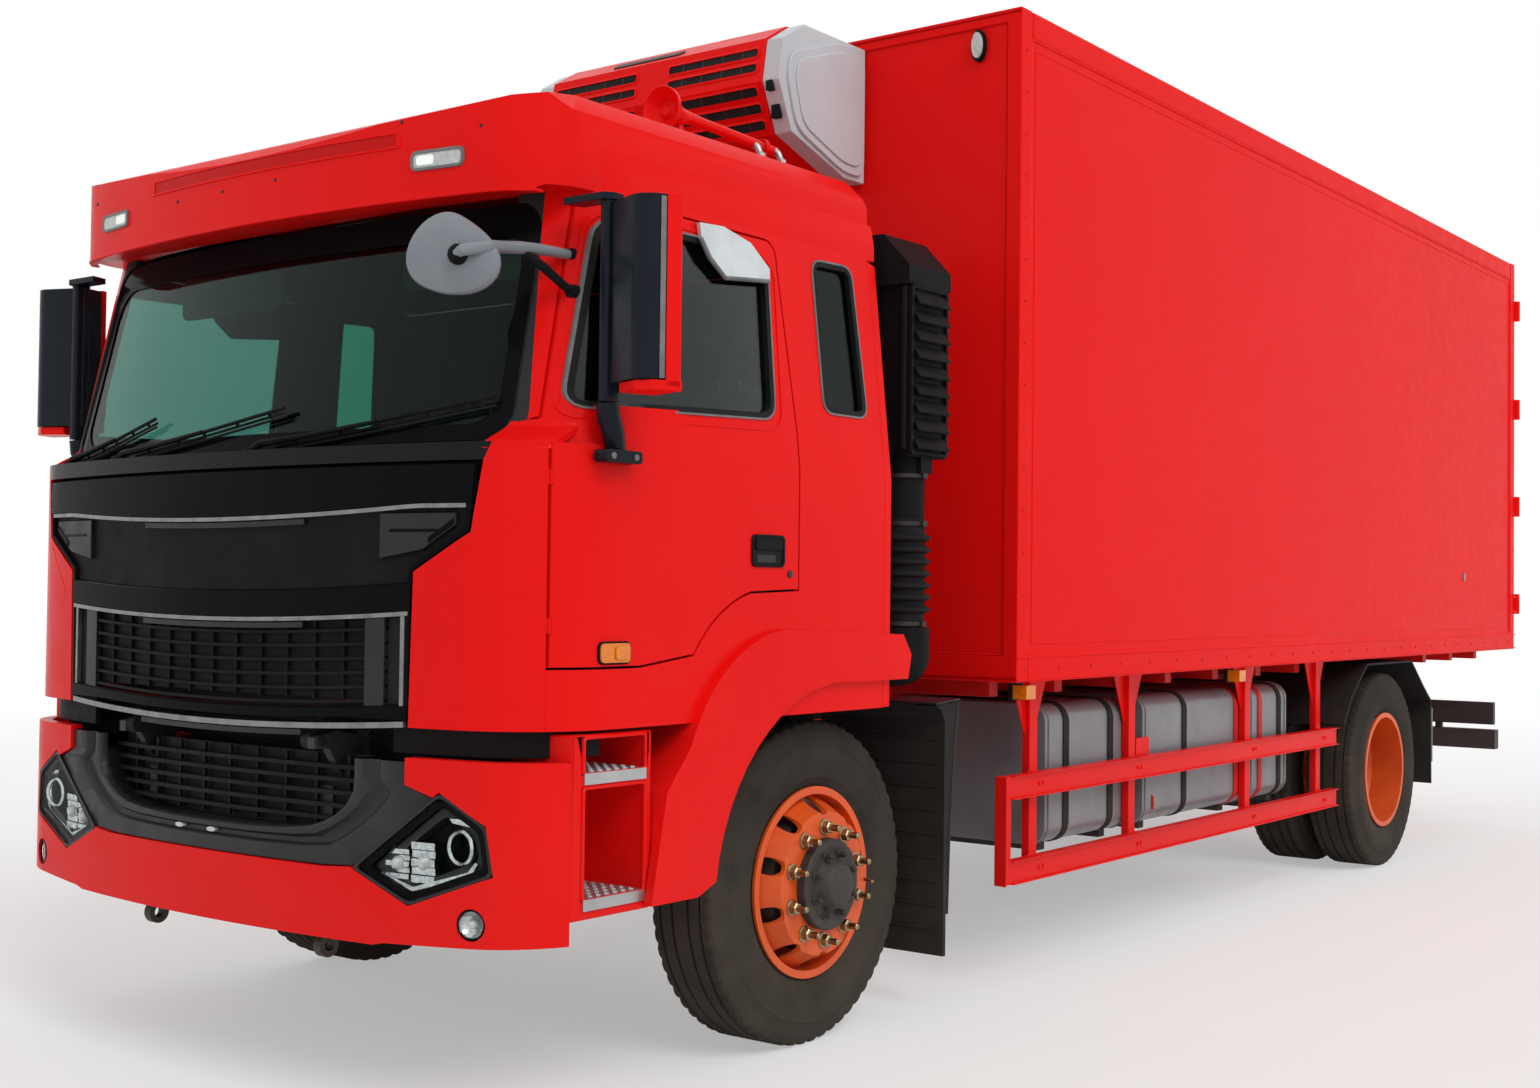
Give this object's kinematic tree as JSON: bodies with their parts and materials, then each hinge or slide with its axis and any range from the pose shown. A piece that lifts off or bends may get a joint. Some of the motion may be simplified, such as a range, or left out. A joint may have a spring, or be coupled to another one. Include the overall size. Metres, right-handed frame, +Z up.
{
  "type": "refrigerated truck",
  "caption": "Two-axle refrigerated delivery truck with a tilting cab, an insulated cargo box with rear doors, and steered front wheels.",
  "frame": {"origin": "on the ground under the middle of the truck's length and width", "axes": "+Z up, +X to the truck's left, +Y to its rear; it faces -Y"},
  "size_m": [2.9124, 8.7622, 3.51],
  "materials": {
    "frame_paint": "satin red chassis paint",
    "body_paint": "gloss red paint",
    "box_skin": "gloss red panel skin",
    "bumper_dark": "dark grey moulded plastic",
    "lamp": "clear lens over reflectors",
    "axle_black": "satin black axle paint",
    "spring_steel": "dark spring steel",
    "shaft_steel": "dark painted steel",
    "engine_grey": "grey cast block",
    "tank_metal": "grey painted and bare tank metal",
    "black_rubber": "black rubber and moulded guards",
    "black_plastic": "grained black plastic",
    "bumper_steel": "black painted steel",
    "unit_white": "off-white moulded housing",
    "cab_black": "dark grey floor covering",
    "grille_gloss": "gloss black plastic",
    "glass": "tinted safety glass",
    "dash": "grained dark grey plastic",
    "seat_cloth": "dark woven seat cloth",
    "mirror_grey": "grey moulded mirror shell",
    "mirror_black": "black moulded mirror shell",
    "wheel_orange": "orange wheel paint",
    "tyre": "black tyre rubber",
    "steel": "bare steel"
  },
  "bodies": {
    "root": {"frame_rails": "frame_paint", "cross_members": "frame_paint", "front_bumper": "body_paint", "bumper_surround": "bumper_dark", "front_lamps": "lamp", "front_axle": "axle_black", "rear_axle": "axle_black", "leaf_springs": "spring_steel", "driveshaft": "shaft_steel", "engine_block": "engine_grey", "chassis_tanks": "tank_metal", "side_guards": "frame_paint", "mudguards": "black_rubber", "step_boxes": "body_paint", "air_intake": "black_plastic", "rear_bumper": "bumper_steel", "box_subframe": "frame_paint", "box_floor": "box_skin", "box_sides": "box_skin", "box_roof": "box_skin", "box_front_wall": "box_skin", "box_rear_frame": "box_skin", "cooling_unit": "unit_white", "cooling_cover": "body_paint"},
    "cab": {"cab_floor": "cab_black", "cab_back_wall": "body_paint", "cab_roof": "body_paint", "cab_sides": "body_paint", "cab_front": "body_paint", "cab_glass": "glass", "dashboard": "dash", "seats": "seat_cloth", "cab_fenders": "body_paint", "kerb_mirror": "mirror_grey", "roof_horn": "body_paint"},
    "front_lid": {"grille_panel": "grille_gloss"},
    "door_left": {"door_left": "body_paint", "door_glass_left": "glass", "mirror_left": "mirror_black"},
    "door_right": {"door_right": "body_paint", "door_glass_right": "glass", "mirror_right": "mirror_black"},
    "steering_wheel": {"steering_wheel": "dash"},
    "knuckle_left": {"knuckle_left": "axle_black"},
    "knuckle_right": {"knuckle_right": "axle_black"},
    "tie_rod": {"tie_rod": "steel"},
    "wheel_front_left": {"tyre_front_left": "tyre", "rim_front_left": "wheel_orange"},
    "wheel_front_right": {"tyre_front_right": "tyre", "rim_front_right": "wheel_orange"},
    "wheels_rear_left": {"tyres_rear_left": "tyre", "rims_rear_left": "wheel_orange"},
    "wheels_rear_right": {"tyres_rear_right": "tyre", "rims_rear_right": "wheel_orange"},
    "cargo_door_left": {"cargo_door_left": "body_paint"},
    "cargo_door_right": {"cargo_door_right": "body_paint"}
  },
  "joints": [
    {"name": "cab_tilt", "type": "hinge", "parent": "root", "child": "cab", "pos_m": [0, -4.32, 0.99], "axis": [1, 0, 0], "range_deg": [0, 45]},
    {"name": "front_lid", "type": "hinge", "parent": "cab", "child": "front_lid", "pos_m": [0, -4.37, 1.75], "axis": [-1, 0, 0], "range_deg": [0, 70]},
    {"name": "door_left", "type": "hinge", "parent": "cab", "child": "door_left", "pos_m": [1.15, -4.145, 1.5], "axis": [0, 0, -1], "range_deg": [0, 70]},
    {"name": "door_right", "type": "hinge", "parent": "cab", "child": "door_right", "pos_m": [-1.15, -4.145, 1.5], "axis": [0, 0, 1], "range_deg": [0, 70]},
    {"name": "steering_wheel", "type": "hinge", "parent": "cab", "child": "steering_wheel", "pos_m": [0.56, -3.53, 1.8], "axis": [0, 0.6157, 0.788], "range_deg": [-560, 560]},
    {"name": "steer_left", "type": "hinge", "parent": "root", "child": "knuckle_left", "pos_m": [0.9, -2.92, 0.506], "axis": [0, 0, 1], "range_deg": [-35, 35]},
    {"name": "steer_right", "type": "hinge", "parent": "root", "child": "knuckle_right", "pos_m": [-0.9, -2.92, 0.506], "axis": [0, 0, 1], "range_deg": [-35, 35]},
    {"name": "tie_rod", "type": "hinge", "parent": "knuckle_left", "child": "tie_rod", "pos_m": [0.9, -2.77, 0.365], "axis": [0, 0, 1], "range_deg": [-35, 35]},
    {"name": "wheel_front_left", "type": "hinge", "parent": "knuckle_left", "child": "wheel_front_left", "pos_m": [0.997, -2.92, 0.506], "axis": [1, 0, 0], "continuous": true},
    {"name": "wheel_front_right", "type": "hinge", "parent": "knuckle_right", "child": "wheel_front_right", "pos_m": [-0.997, -2.92, 0.506], "axis": [1, 0, 0], "continuous": true},
    {"name": "wheels_rear_left", "type": "hinge", "parent": "root", "child": "wheels_rear_left", "pos_m": [1.107, 2.08, 0.506], "axis": [1, 0, 0], "continuous": true},
    {"name": "wheels_rear_right", "type": "hinge", "parent": "root", "child": "wheels_rear_right", "pos_m": [-1.107, 2.08, 0.506], "axis": [1, 0, 0], "continuous": true},
    {"name": "cargo_door_left", "type": "hinge", "parent": "root", "child": "cargo_door_left", "pos_m": [1.288, 4.356, 2.3], "axis": [0, 0, -1], "range_deg": [0, 270]},
    {"name": "cargo_door_right", "type": "hinge", "parent": "root", "child": "cargo_door_right", "pos_m": [-1.288, 4.356, 2.3], "axis": [0, 0, 1], "range_deg": [0, 270]}
  ],
  "couplings": [
    {"joint": "steer_right", "follows": "steer_left", "ratio": 1},
    {"joint": "tie_rod", "follows": "steer_left", "ratio": -1},
    {"joint": "steering_wheel", "follows": "steer_left", "ratio": 16}
  ]
}
